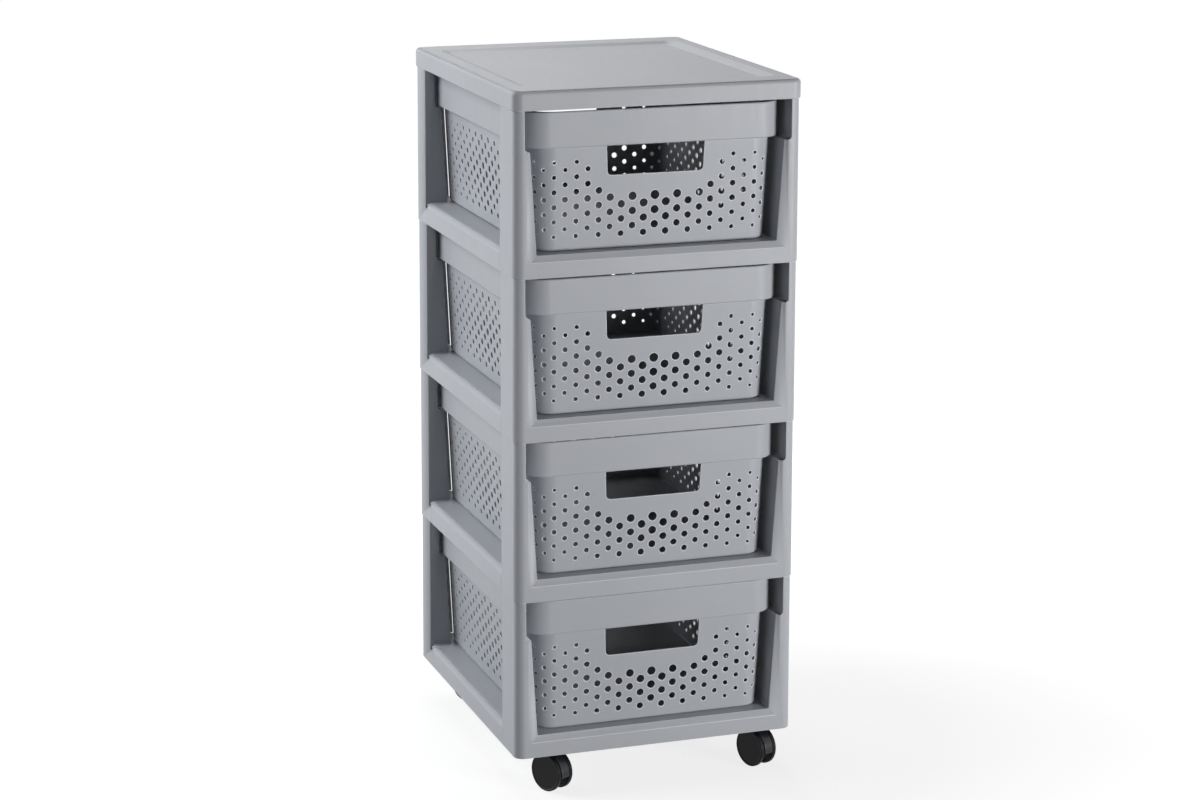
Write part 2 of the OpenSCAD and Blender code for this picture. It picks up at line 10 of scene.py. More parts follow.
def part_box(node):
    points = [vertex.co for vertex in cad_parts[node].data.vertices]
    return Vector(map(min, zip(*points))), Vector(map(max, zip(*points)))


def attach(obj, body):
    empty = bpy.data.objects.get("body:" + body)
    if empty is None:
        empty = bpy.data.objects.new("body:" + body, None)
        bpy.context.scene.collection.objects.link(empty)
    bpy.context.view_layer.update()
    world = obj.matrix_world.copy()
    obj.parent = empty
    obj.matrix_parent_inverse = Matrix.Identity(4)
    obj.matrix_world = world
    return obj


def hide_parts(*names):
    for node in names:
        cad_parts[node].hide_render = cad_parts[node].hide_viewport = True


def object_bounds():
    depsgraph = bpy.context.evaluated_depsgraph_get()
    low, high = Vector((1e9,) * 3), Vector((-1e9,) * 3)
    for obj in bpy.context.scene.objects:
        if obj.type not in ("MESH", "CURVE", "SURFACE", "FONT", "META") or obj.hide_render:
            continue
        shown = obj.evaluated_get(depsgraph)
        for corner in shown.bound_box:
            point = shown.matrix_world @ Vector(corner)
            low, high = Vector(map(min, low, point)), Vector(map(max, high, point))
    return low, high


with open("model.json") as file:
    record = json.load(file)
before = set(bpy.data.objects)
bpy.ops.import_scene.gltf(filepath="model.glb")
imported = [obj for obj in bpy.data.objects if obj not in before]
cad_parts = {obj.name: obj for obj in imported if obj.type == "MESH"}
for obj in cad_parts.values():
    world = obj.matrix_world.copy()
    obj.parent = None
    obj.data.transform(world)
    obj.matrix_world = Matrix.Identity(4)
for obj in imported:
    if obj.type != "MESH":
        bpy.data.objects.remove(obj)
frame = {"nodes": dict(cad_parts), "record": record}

CAD_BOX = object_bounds()
NODES = frame["nodes"]
BODY_OF = {node: body for body, nodes in frame["record"]["behaviour"]["bodies"].items() for node in nodes}

MM = 0.001

# Mesh attributes from 0 to 1 that the plastics read: edges painted lighter, a painted highlight that partly
# stands for rubbed wear, and the inside of a basket, which gets painted shade
EDGE_WEAR_AND_HIGHLIGHT = "edge_wear_and_highlight"
INSIDE_SHADE = "inside_painted_shade"

# Camera: where it stands, which way it looks, and its lens, on a 36 mm wide sensor
CAMERA_PLACE = (-1.0176, -2.9336, 1.1372)
CAMERA_TURN = 19.12   # degrees from +Y towards +X
CAMERA_DOWN = 13.98   # degrees below the horizon
CAMERA_ROLL = 0.18
CAMERA_LENS = 91.0
CAMERA_CLIP = (0.05, 60)
SENSOR_W = 36.0


def add_camera():
    turn, down, roll = (math.radians(a) for a in (CAMERA_TURN, CAMERA_DOWN, CAMERA_ROLL))
    ahead = Vector((math.sin(turn) * math.cos(down), math.cos(turn) * math.cos(down), -math.sin(down)))
    level = Vector((math.cos(turn), -math.sin(turn), 0))
    upright = level.cross(ahead)
    right = math.cos(roll) * level + math.sin(roll) * upright
    up = math.cos(roll) * upright - math.sin(roll) * level
    data = bpy.data.cameras.new("camera")
    data.sensor_width, data.lens = SENSOR_W, CAMERA_LENS
    data.clip_start, data.clip_end = CAMERA_CLIP
    camera = bpy.data.objects.new("camera", data)
    axes = Matrix((right, up, -ahead)).transposed()
    camera.matrix_world = Matrix.Translation(CAMERA_PLACE) @ axes.to_4x4()
    bpy.context.scene.collection.objects.link(camera)
    bpy.context.scene.camera = camera


class Nodes:
    """The node tree of a material or of the world, with short calls to add and join nodes."""

    def __init__(self, owner):
        owner.use_nodes = True
        self.owner = owner
        self.tree = owner.node_tree
        self.tree.nodes.clear()

    def add(self, kind, inputs=(), **settings):
        node = self.tree.nodes.new(kind)
        for key, value in settings.items():
            setattr(node, key, value)
        for key, value in dict(inputs).items():
            if isinstance(value, bpy.types.NodeSocket):
                self.tree.links.new(value, node.inputs[key])
            else:
                node.inputs[key].default_value = value
        return node

    def attribute(self, name):
        return self.add("ShaderNodeAttribute", attribute_name=name).outputs["Fac"]

    def noise(self, coords, scale, detail=2.0, roughness=0.5):
        return self.add("ShaderNodeTexNoise", {"Vector": coords, "Scale": scale, "Detail": detail,
                                               "Roughness": roughness}).outputs["Fac"]

    def span(self, value, low, high, from_low=0.0, from_high=1.0):
        """The value, mapped from one range to another and kept inside it."""
        return self.add("ShaderNodeMapRange", {"Value": value, "From Min": from_low, "From Max": from_high,
                                               "To Min": low, "To Max": high}).outputs["Result"]

    def blend(self, fac, a, b):
        """Colour a where fac is 0, colour b where it is 1."""
        return self.add("ShaderNodeMix", {0: fac, 6: a, 7: b}, data_type="RGBA").outputs[2]

    def bump(self, height, strength, distance, **over):
        inputs = {"Height": height, "Strength": strength, "Distance": distance, **over}
        return self.add("ShaderNodeBump", inputs).outputs["Normal"]


def rgba(colour, k=1.0):
    return (*(c * k for c in colour), 1.0)


# Plastics: colour, roughness, specular level, and how many times lighter an edge is painted, a painted
# highlight that partly stands for rubbed wear
PLASTICS = {
    "frame_plastic": ((0.45, 0.465, 0.495), 0.42, 0.3, 1.5),
    "drawer_plastic": ((0.43, 0.445, 0.475), 0.42, 0.3, 2.1),
    "hood_plastic": ((0.011, 0.012, 0.015), 0.36, 0.35, 3.0),
    "wheel_plastic": ((0.006, 0.0065, 0.008), 0.4, 0.15, 3.0),
}
# Their pattern: scales of the noises, shades as multiples of the colour, and depths in metres
CLOUD_SCALE = 7.0
CLOUD_SHADES = (0.965, 1.03)
CLOUD_BUMP, CLOUD_DEPTH = 0.12, 0.0015
SPECK_SCALE = 420.0
SPECK_SHADE = 1.08
SPECK_SHARE = 0.35                   # how much of that shade a speck has at most
GRAIN_SCALE = 2600.0
GRAIN_BUMP, GRAIN_DEPTH = 0.10, 0.00012
SCUFF_SCALE = 3.0
SCUFF_STRETCH = (60.0, 60.0, 6.0)
SCUFF_SMOOTHER, SCUFF_ROUGHER = 0.05, 0.08
INSIDE_PAINTED_SHADES = (0.76, 0.84)           # painted shade: the inside of a basket is painted darker


def moulded_plastic(name, colour, rough, specular, edge):
    """Injection-moulded plastic: faint flow clouds, light specks, a fine spark-eroded grain, scuffs in its
    sheen, and where the mesh says so painted shade inside a basket or edges painted lighter, a painted
    highlight that partly stands for rubbed wear."""
    n = Nodes(bpy.data.materials.new(name))
    coords = n.add("ShaderNodeTexCoord").outputs["Object"]
    clouds = n.noise(coords, CLOUD_SCALE, detail=3.0)
    specks = n.noise(coords, SPECK_SCALE)
    grain = n.noise(coords, GRAIN_SCALE, detail=1.0)
    stretched = n.add("ShaderNodeMapping", {"Vector": coords, "Scale": SCUFF_STRETCH}).outputs["Vector"]
    scuffs = n.noise(stretched, SCUFF_SCALE, detail=5.0, roughness=0.7)

    cloud = n.span(clouds, 0, 1, from_low=0.3, from_high=0.7)
    speck = n.span(specks, 0, SPECK_SHARE, from_low=0.45, from_high=0.8)
    base = n.blend(cloud, *(rgba(colour, k) for k in CLOUD_SHADES))
    base = n.blend(speck, base, rgba(colour, SPECK_SHADE))
    # Painted shade: the inside of a basket is painted darker.
    base = n.blend(n.attribute(INSIDE_SHADE), base, n.blend(clouds, *(rgba(colour, k) for k in INSIDE_PAINTED_SHADES)))
    # Painted highlight, partly rubbed wear: edges are painted lighter.
    base = n.blend(n.attribute(EDGE_WEAR_AND_HIGHLIGHT), base, rgba(colour, edge))
    sheen = n.span(scuffs, rough - SCUFF_SMOOTHER, rough + SCUFF_ROUGHER, from_low=0.35, from_high=0.75)
    normal = n.bump(grain, GRAIN_BUMP, GRAIN_DEPTH)
    normal = n.bump(clouds, CLOUD_BUMP, CLOUD_DEPTH, Normal=normal)
    shader = n.add("ShaderNodeBsdfPrincipled", {"Base Color": base, "Roughness": sheen, "Normal": normal,
                                                "Specular IOR Level": specular})
    n.add("ShaderNodeOutputMaterial", {"Surface": shader.outputs["BSDF"]})
    return n.owner


STEEL = (0.6, 0.6, 0.62)
STEEL_MARK_SCALE = 900.0
STEEL_SHADES = (0.9, 1.05)
STEEL_ROUGH = (0.22, 0.42)


def plated_steel(name):
    n = Nodes(bpy.data.materials.new(name))
    coords = n.add("ShaderNodeTexCoord").outputs["Object"]
    marks = n.noise(coords, STEEL_MARK_SCALE, detail=4.0, roughness=0.7)
    shader = n.add("ShaderNodeBsdfPrincipled", {
        "Base Color": n.blend(marks, *(rgba(STEEL, k) for k in STEEL_SHADES)),
        "Roughness": n.span(marks, *STEEL_ROUGH), "Metallic": 1.0})
    n.add("ShaderNodeOutputMaterial", {"Surface": shader.outputs["BSDF"]})
    return n.owner


def white_to_view(n, shade, glow):
    """Shows a glow to camera, glossy and transmission rays, and the plain shade to all others."""
    rays = n.add("ShaderNodeLightPath").outputs
    seen = n.add("ShaderNodeMath", {0: rays["Is Camera Ray"], 1: rays["Is Glossy Ray"]}, operation="MAXIMUM")
    seen = n.add("ShaderNodeMath", {0: seen.outputs[0], 1: rays["Is Transmission Ray"]}, operation="MAXIMUM")
    return n.add("ShaderNodeMixShader", {0: seen.outputs[0], 1: shade, 2: glow}).outputs[0]


WHITE = (1.0, 1.0, 1.0)
COOL = (0.96, 0.98, 1.0)

FLOOR_R = 12.0
FLOOR_STEPS = 64
FLOOR_DROP = 0.0002             # how far the floor lies below the wheels
FLOOR_PAINT = 0.22              # grey that lights the tower from below
FLOOR_SEEN = 0.30               # grey that shows the shadow, with a glow over it
GLOW_NEAR, GLOW_FAR = 0.80, 1.0
SHADOW_NEAR, SHADOW_FAR = 0.35, 0.9     # distances from the middle between which the shadow fades out


def add_floor():
    """Pale floor that reads as white but keeps the tower's shadow near it."""
    n = Nodes(bpy.data.materials.new("pale_floor"))
    place = n.add("ShaderNodeTexCoord").outputs["Object"]
    away = n.add("ShaderNodeVectorMath", {0: place}, operation="LENGTH").outputs["Value"]
    paint, seen_paint = (n.add("ShaderNodeBsdfDiffuse", {"Color": rgba(WHITE, level)}).outputs["BSDF"]
                         for level in (FLOOR_PAINT, FLOOR_SEEN))
    glow_level = n.span(away, GLOW_NEAR, GLOW_FAR, SHADOW_NEAR, SHADOW_FAR)
    glow = n.add("ShaderNodeEmission", {"Strength": glow_level}).outputs["Emission"]
    seen = n.add("ShaderNodeAddShader", {0: seen_paint, 1: glow}).outputs[0]
    n.add("ShaderNodeOutputMaterial", {"Surface": white_to_view(n, paint, seen)})
    mesh = bpy.data.meshes.new("floor")
    ring = [(FLOOR_R * math.cos(a), FLOOR_R * math.sin(a), 0) for a in arc(FLOOR_STEPS, 0, 360)[:-1]]
    mesh.from_pydata(ring, [], [range(FLOOR_STEPS)])
    mesh.materials.append(n.owner)
    floor = bpy.data.objects.new("floor", mesh)
    floor.location.z = -FLOOR_DROP
    bpy.context.scene.collection.objects.link(floor)


# Sizes of a drawer, in millimetres; its outer size comes from the frame
DRAWER_WALL = 2.0
DRAWER_FLOOR = 2.5
RIM_H = 35.9
RIM_R = 25.0
RIM_EDGE_R = 1.5
RIM_INNER_EDGE_R = 0.8
RIM_SKIN = 2.0          # outside the hollows in its sides
RIM_OVERLAP = 1.0       # the walls reach this far up into the rim
POCKET_INSET = 35.0     # from the rim's front and back to the hollows in its sides
POCKET_WALL = 0.8       # between a hollow and the body, at the rim's top
BODY_IN_X = 13.0        # from the rim's side to the body's side, at the floor
BODY_IN_Y = 7.1         # from the rim's front to the body's front, at the floor
BODY_R = 19.0
BODY_EDGE_R = 3.0
BODY_INNER_EDGE_R = 2.0
BODY_LEAN = 0.047       # how far a wall leans out for each millimetre of height
BEND_EXTRA = 2.0        # the wall is unrolled at this much more than the radius at the floor
GRIP_HALF = 51.0        # half the hand-hold's width at its top
GRIP_H = 29.4
GRIP_R = 4.5
GRIP_LEAN = 1.0         # how much each side of the hand-hold closes in towards its bottom
FRONT_PITCH = 11.7
SIDE_PITCH = 10.93
ROW_PITCH = 14.8        # between neighbouring rows of one column
FRONT_HOLE_D, FRONT_FADE = 9.2, 0.85    # the middle hole, and the loss with each step away from it
SIDE_HOLE_D, SIDE_FADE = 7.6, 0.55
LEAST_HOLE_D = 1.8
CORNER_COLUMNS = (6.0, 33.0, 60.0)      # degrees from the front wall's direction
PLAIN_END = 13.5        # band without holes above the floor and below the rim
PLAIN_UNDER_GRIP = 15.0
PLAIN_BESIDE_GRIP = 9.0
PLAIN_END_RISE = 8.0    # how far the strip beside the hand-hold reaches below it
HOLE_EDGE_R = 0.55      # rounding round a hole, outside the drawer
HOLE_INNER_EDGE_R = 0.3

# Edges painted lighter, a painted highlight that partly stands for rubbed wear: a band outside a cut's
# rounding, and how much lighter the rounding's first two rows of corners are painted
LIGHT_BAND_W = 0.45
HOLE_LIGHTENING = (0.8, 1.0)
GRIP_LIGHTENING = (0.5, 0.8)
SIDE_SLANT = 0.5        # a hole whose outward direction has less of y than this is on a side wall, where edges are painted lighter by this share of the others' amount
SIDE_LIGHTENING = 0.15         # where edges are rubbed by this share of the others' amount

# How finely the drawers' meshes are divided
CORNER_STEPS = 14
HOLE_STEPS = 24
GRIP_STEPS = 6
FOOT_STEPS = 5
RIM_STEPS = 4
LIP_STEPS = 3
PANEL_ROWS = 14
HOLE_CLEAR = 1.4        # least distance in millimetres from a free point to a hole

CORNERS = ((1, 1), (-1, 1), (-1, -1), (1, -1))
ROUND_OFF = 1e-6


class Skin:
    """Faces whose corners are (place, normal) pairs in millimetres, welded into one smooth mesh."""

    def __init__(self):
        self.index = {}
        self.places = []
        self.faces = []
        self.normals = []
        self.worn_and_lit = {}

    @staticmethod
    def key(place):
        return tuple(round(c, 4) for c in place)

    def lighten_edges(self, rows, amounts, share=1.0):
        """Marks rows of corners to be painted lighter, a painted highlight that partly stands for wear, each
        by a share of its amount.
        """
        for row, amount in zip(rows, amounts):
            for place, _ in row:
                self.worn_and_lit[self.index[self.key(place)]] = amount * share

    def face(self, corners):
        ids, kept = [], []
        for place, normal in corners:
            i = self.index.setdefault(self.key(place), len(self.places))
            if i == len(self.places):
                self.places.append(place)
            if i not in ids:
                ids.append(i)
                kept.append((Vector(place), Vector(normal)))
        if len(ids) < 3:
            return
        middle = sum((p for p, _ in kept), Vector()) / len(kept)
        across = sum(((a - middle).cross(b - middle) for (a, _), (b, _) in zip(kept, kept[1:] + kept[:1])),
                     Vector())
        if across.dot(sum((n for _, n in kept), Vector())) < 0:
            ids.reverse()
            kept.reverse()
        self.faces.append(ids)
        self.normals.extend(n.normalized() for _, n in kept)

    def strip(self, a, b, closed):
        """Quads between two rows of corners."""
        for i in range(len(a) if closed else len(a) - 1):
            j = (i + 1) % len(a)
            self.face([a[i], a[j], b[j], b[i]])

    def rings(self, rows, closed=True):
        for a, b in zip(rows, rows[1:]):
            self.strip(a, b, closed)

    def panel(self, loops, points, lift):
        """A triangulated sheet inside the first loop and outside the others; lift gives a corner."""
        flat, edges, loop_of = [], [], []
        for number, loop in enumerate(loops):
            first = len(flat)
            flat.extend(loop)
            loop_of.extend([number] * len(loop))
            edges.extend((first + i, first + (i + 1) % len(loop)) for i in range(len(loop)))
        flat.extend(points)
        loop_of.extend([0] * len(points))
        inside, epsilon = 1, 1e-5
        made = delaunay_2d_cdt([Vector(p) for p in flat], edges, [], inside, epsilon)
        triangles = made[2]
        sources = [origins[0] for origins in made[3]]
        corners = [lift(*flat[i]) for i in sources]
        for triangle in triangles:
            touched = {loop_of[sources[i]] for i in triangle}
            in_hole = len(touched) == 1 and touched != {0}
            if not in_hole:
                self.face([corners[i] for i in triangle])

    def mesh(self, name, gets_painted_shade):
        mesh = bpy.data.meshes.new(name)
        mesh.from_pydata([Vector(p) * MM for p in self.places], [], self.faces)
        mesh.shade_smooth()
        mesh.normals_split_custom_set([tuple(n) for n in self.normals])
        # Edges painted lighter: a painted highlight, partly rubbed wear.
        worn_and_lit = mesh.attributes.new(EDGE_WEAR_AND_HIGHLIGHT, "FLOAT", "POINT")
        for i, amount in self.worn_and_lit.items():
            worn_and_lit.data[i].value = amount
        # Where the plastic paints shade: 1 on the inside of the basket.
        painted_shade = mesh.attributes.new(INSIDE_SHADE, "FLOAT", "POINT")
        for i, place in enumerate(self.places):
            painted_shade.data[i].value = gets_painted_shade(place)
        return mesh


def arc(steps, start, end):
    """Angles in radians from start to end, given in degrees."""
    return [math.radians(start + (end - start) * i / steps) for i in range(steps + 1)]


def rounded_ring(half_x, half_y, r, z, out, up):
    """Corners round a rectangle with rounded corners; out and up tell how its normals lean."""
    ring = []
    for quarter, (sx, sy) in enumerate(CORNERS):
        for a in arc(CORNER_STEPS, 90 * quarter, 90 * quarter + 90):
            place = (sx * (half_x - r) + r * math.cos(a), sy * (half_y - r) + r * math.sin(a), z)
            ring.append((place, (out * math.cos(a), out * math.sin(a), up)))
    return ring


class DrawerWall:
    """The drawer body's leaning wall, unrolled: u runs round it from the right side's front end."""

    def __init__(self, half_x, half_y):
        self.cx, self.cy = half_x - BODY_R, half_y - BODY_R
        self.bend_r = BODY_R + BEND_EXTRA
        self.bend = self.bend_r * math.pi / 2
        self.depth = DRAWER_WALL + BODY_LEAN * DRAWER_FLOOR
        lengths = [2 * self.cy, self.bend, 2 * self.cx, self.bend] * 2
        self.starts = [sum(lengths[:i]) for i in range(8)]
        self.right, self.back = self.cy, self.starts[2] + self.cx     # u of the walls' middles
        self.left, self.front = self.starts[4] + self.cy, self.starts[6] + self.cx
        tilt = math.atan(BODY_LEAN)
        self.flat, self.fall = math.cos(tilt), math.sin(tilt)

    def r(self, z):
        return BODY_R + BODY_LEAN * z

    def ring(self, r, z, out, up):
        """Corners round the body where its bends have a radius."""
        return rounded_ring(self.cx + r, self.cy + r, r, z, out, up)

    def at(self, u, z, depth=0.0):
        """Place, outward normal, and the two directions along the wall."""
        slack = 1e-9
        part = max(i for i in range(8) if u >= self.starts[i] - slack)
        quarter, is_bend = divmod(part, 2)
        sx, sy = CORNERS[quarter - 1 + is_bend]
        along = u - self.starts[part]
        a = math.radians(90 * quarter)
        if is_bend:
            a += along / self.bend_r
            along = 0.0
        out = (math.cos(a), math.sin(a))
        side = (-out[1], out[0])
        reach = self.r(z) - depth
        place = (sx * self.cx + reach * out[0] + along * side[0],
                 sy * self.cy + reach * out[1] + along * side[1], z)
        normal = (out[0] * self.flat, out[1] * self.flat, -self.fall)
        rise = (out[0] * self.fall, out[1] * self.fall, self.flat)
        return place, normal, (*side, 0.0), rise

    def outside(self, u, z):
        return self.at(u, z)[:2]

    def inside(self, u, z):
        place, normal = self.at(u, z, self.depth)[:2]
        return place, tuple(-c for c in normal)

    def gets_painted_shade(self, place):
        """1 for a place on the inside of the body, where the plastic paints shade, otherwise 0."""
        slack = 0.1
        x, y, z = place
        reach = math.hypot(max(abs(x) - self.cx, 0), max(abs(y) - self.cy, 0))
        return float(z > DRAWER_FLOOR - slack and reach < self.r(z) - self.depth + slack)

    def samples(self):
        """u of each corner step round the wall."""
        return [self.starts[k] + self.bend * i / CORNER_STEPS
                for k in (1, 3, 5, 7) for i in range(CORNER_STEPS + 1)]


def hole_list(wall, rim_low):
    """(u, z, radius, stretch along u) of every hole, in staggered columns, the largest amid each wall."""
    half_rows = math.floor((rim_low / 2 - PLAIN_END) / (ROW_PITCH / 2))
    front_columns = math.floor(wall.cx / FRONT_PITCH)
    side_columns = math.floor(wall.cy / SIDE_PITCH)

    def radius(largest, fade, c, m):
        return max(LEAST_HOLE_D, largest - fade * (abs(c) + abs(m)) / 2) / 2

    def clears_grip(x, z):
        low = rim_low - GRIP_H
        return not (x < GRIP_HALF and z > low - PLAIN_UNDER_GRIP) \
            and not (x < GRIP_HALF + PLAIN_BESIDE_GRIP and z > low - PLAIN_END_RISE)

    holes = []
    for m in range(-half_rows, half_rows + 1):
        z = rim_low / 2 - m * ROW_PITCH / 2
        for c in range(-front_columns, front_columns + 1):
            if (c + m) % 2 == 0 and clears_grip(abs(c) * FRONT_PITCH, z):
                r = radius(FRONT_HOLE_D, FRONT_FADE, c, m)
                holes.extend((middle + c * FRONT_PITCH, z, r, 1) for middle in (wall.front, wall.back))
        for c in range(-side_columns, side_columns + 1):
            if (c + m) % 2 == 0:
                r = radius(SIDE_HOLE_D, SIDE_FADE, c, m)
                holes.extend((middle + c * SIDE_PITCH, z, r, 1) for middle in (wall.left, wall.right))
        stretch = wall.bend_r / wall.r(z)
        for c, angle in enumerate(CORNER_COLUMNS, front_columns + 1):
            if (c + m) % 2 == 0:
                r = radius(FRONT_HOLE_D, FRONT_FADE, c, m)
                along = wall.bend_r * math.radians(angle)
                holes.extend((u, z, r, stretch) for u in (wall.starts[7] + along, wall.starts[6] - along,
                                                          wall.starts[3] + along, wall.starts[2] - along))
    return holes


def hole_points(hole, grow):
    """Outline of a hole: (u, z, away)."""
    u, z, r, stretch = hole
    return [(u + (r + grow) * math.cos(a) * stretch, z + (r + grow) * math.sin(a), (math.cos(a), math.sin(a)))
            for a in arc(HOLE_STEPS, 0, 360)[:-1]]


def grip_points(grow, top):
    """Half-open outline of a hand-hold from its upper left end to its upper right: (x, z, away)."""
    low = -GRIP_H
    r = GRIP_R + grow
    half = GRIP_HALF - GRIP_LEAN - GRIP_R
    row = [(-GRIP_HALF - grow, top, (-1, 0))]
    for side, start in ((-1, 180), (1, 270)):
        for a in arc(GRIP_STEPS, start, start + 90):
            row.append((side * half + r * math.cos(a), low + GRIP_R + r * math.sin(a),
                        (math.cos(a), math.sin(a))))
    row.append((GRIP_HALF + grow, top, (1, 0)))
    return row


def edge_levels(depth):
    """How a cut's edge runs through the wall: growth of its outline, depth, and turn of the normal."""
    e, f = HOLE_EDGE_R, HOLE_INNER_EDGE_R
    midway = 1 - math.sqrt(0.5)    # of the rounding, where its normal has turned by half
    return [(e + LIGHT_BAND_W, 0, 0), (e, 0, 0), (e * midway, e * midway, 45), (0, e, 90),
            (0, depth - f, 90), (f, depth, 180)]


def cut_corner(wall, u, z, depth, turn, away):
    """Corner on a cut's edge; away points out of the cut, in wall directions."""
    place, normal, side, rise = wall.at(u, z, depth)
    a = math.radians(turn)
    away3 = Vector(side) * away[0] + Vector(rise) * away[1]
    return place, tuple(math.cos(a) * Vector(normal) - math.sin(a) * away3)


def add_hole_edge(skin, wall, hole):
    rows = [[cut_corner(wall, u, z, depth, turn, away) for u, z, away in hole_points(hole, grow)]
            for grow, depth, turn in edge_levels(wall.depth)]
    skin.rings(rows)
    outward = rows[0][0][1]
    # The rounding is painted lighter, a painted highlight, much less on a side wall.
    skin.lighten_edges(rows[1:], HOLE_LIGHTENING, 1.0 if abs(outward[1]) > SIDE_SLANT else SIDE_LIGHTENING)


def add_grip_edge(skin, wall, middle, rim_low):
    rows = []
    for grow, depth, turn in edge_levels(wall.depth):
        top = RIM_OVERLAP * (1 - depth / wall.depth)
        rows.append([cut_corner(wall, middle + x, rim_low + z, depth, turn, away)
                     for x, z, away in grip_points(grow, top)])
    skin.rings(rows, closed=False)
    # The rounding is painted lighter, a painted highlight.
    skin.lighten_edges(rows[1:], GRIP_LIGHTENING)


def add_wall_face(skin, wall, holes, lift, grow, z_low, rim_low, top):
    """The wall's outside or inside, as lift says; gives the corners along its upper edge."""
    samples = wall.samples()
    loop_u = [0.0] + samples   # the last sample is the seam that 0 stands for
    z_top = rim_low + top
    upper = []
    for u in loop_u:
        for middle in (wall.front, wall.back):
            if u > middle and (not upper or upper[-1][0] < middle):
                upper.extend((middle + x, rim_low + z) for x, z, _ in grip_points(grow, top))
        upper.append((u, z_top))
    loops = [[(u, z_low) for u in loop_u] + upper[::-1]]
    loops.extend([(u, z) for u, z, _ in hole_points(hole, grow)] for hole in holes)
    points = []
    for u in samples:
        for i in range(1, PANEL_ROWS):
            z = z_low + (z_top - z_low) * i / PANEL_ROWS
            if all(math.hypot((u - hu) / stretch, z - hz) > r + HOLE_CLEAR for hu, hz, r, stretch in holes):
                points.append((u, z))
    skin.panel(loops, points, lift)
    return [lift(*p) for p in upper]


def add_wall_top(skin, outer, inner, z_top):
    """The narrow face between the wall's outside and inside, left open at the hand-holds."""
    for a, b, c, d in zip(outer, outer[1:], inner[1:], inner):
        is_level = all(abs(place[2] - z_top) < ROUND_OFF for place, _ in (a, b))
        spans_grip = math.dist(a[0], b[0]) > 2 * GRIP_HALF and abs(a[0][0]) < GRIP_HALF + 2
        if is_level and not spans_grip:
            skin.face([(p, (0, 0, 1)) for p, _ in (a, b, c, d)])


def add_foot(skin, wall):
    """The bends between walls and floor, and the floor's two faces."""
    e, f = BODY_EDGE_R, BODY_INNER_EDGE_R
    rows = []
    for a in arc(FOOT_STEPS, -90, 0):
        z = e + e * math.sin(a)
        rows.append(wall.ring(wall.r(z) - (e - e * math.cos(a)), z, math.cos(a), math.sin(a)))
    skin.rings(rows)
    skin.face([(p, (0, 0, -1)) for p, _ in rows[0]])
    rows = []
    for a in arc(FOOT_STEPS, -90, 0):
        z = DRAWER_FLOOR + f + f * math.sin(a)
        inset = wall.depth + f - f * math.cos(a)
        rows.append(wall.ring(wall.r(z) - inset, z, -math.cos(a), -math.sin(a)))
    skin.rings(rows)
    skin.face([(p, (0, 0, 1)) for p, _ in rows[0]])


def add_pocket(skin, box, z_low, z_high):
    """Walls and ceiling of the hollow in one side of the rim; box is its outline."""
    middle = (box[0][0] + box[1][0]) / 2
    for (xa, ya), (xb, yb) in zip(box, box[1:] + box[:1]):
        normal = (middle - xa, 0, 0) if xa == xb else (0, -ya, 0)
        skin.face([((xa, ya, z_low), normal), ((xb, yb, z_low), normal),
                   ((xb, yb, z_high), normal), ((xa, ya, z_high), normal)])
    skin.face([((x, y, z_high), (0, 0, -1)) for x, y in box])


def add_rim(skin, wall, half_x, half_y, rim_low, height):
    """Rim band: inner wall, rounded lip, outer face and an underside with a hollow in each side."""
    def inner(z, inset, out, up):
        return wall.ring(wall.r(z) - wall.depth + inset, z, out, up)

    def outer(inset, z, out, up):
        return rounded_ring(half_x - inset, half_y - inset, RIM_R - inset, z, out, up)

    g, e = RIM_INNER_EDGE_R, RIM_EDGE_R
    rows = [inner(rim_low, 0.0, -1.0, 0.0)]
    for a in arc(LIP_STEPS, 0, 90):
        rows.append(inner(height - g + g * math.sin(a), g - g * math.cos(a), -math.cos(a), math.sin(a)))
    for a in arc(RIM_STEPS, 90, 0):
        rows.append(outer(e - e * math.cos(a), height - e + e * math.sin(a), math.cos(a), math.sin(a)))
    for a in arc(RIM_STEPS, 0, -90):
        rows.append(outer(e - e * math.cos(a), rim_low + e + e * math.sin(a), math.cos(a), math.sin(a)))
    skin.rings(rows)

    pocket_out = half_x - RIM_SKIN
    pocket_in = wall.cx + BODY_R + BODY_LEAN * height + POCKET_WALL
    pocket_y = half_y - POCKET_INSET
    loops = [[p[:2] for p, _ in rows[-1]], [p[:2] for p, _ in rows[0]]]
    for side in (-1, 1):
        box = [(side * pocket_in, -pocket_y), (side * pocket_out, -pocket_y),
               (side * pocket_out, pocket_y), (side * pocket_in, pocket_y)]
        loops.append(box)
        add_pocket(skin, box, rim_low, height - DRAWER_WALL)
    skin.panel(loops, [], lambda x, y: ((x, y, rim_low), (0, 0, -1)))


def drawer_mesh(half_x, half_y, height):
    skin = Skin()
    rim_low = height - RIM_H
    wall = DrawerWall(half_x - BODY_IN_X, half_y - BODY_IN_Y)
    holes = hole_list(wall, rim_low)
    for hole in holes:
        add_hole_edge(skin, wall, hole)
    for middle in (wall.front, wall.back):
        add_grip_edge(skin, wall, middle, rim_low)
    outer_top = add_wall_face(skin, wall, holes, wall.outside, HOLE_EDGE_R + LIGHT_BAND_W,
                              BODY_EDGE_R, rim_low, RIM_OVERLAP)
    inner_top = add_wall_face(skin, wall, holes, wall.inside, HOLE_INNER_EDGE_R,
                              DRAWER_FLOOR + BODY_INNER_EDGE_R, rim_low, 0.0)
    add_wall_top(skin, outer_top, inner_top, rim_low + RIM_OVERLAP)
    add_foot(skin, wall)
    add_rim(skin, wall, half_x, half_y, rim_low, height)
    return skin.mesh("drawer", wall.gets_painted_shade)


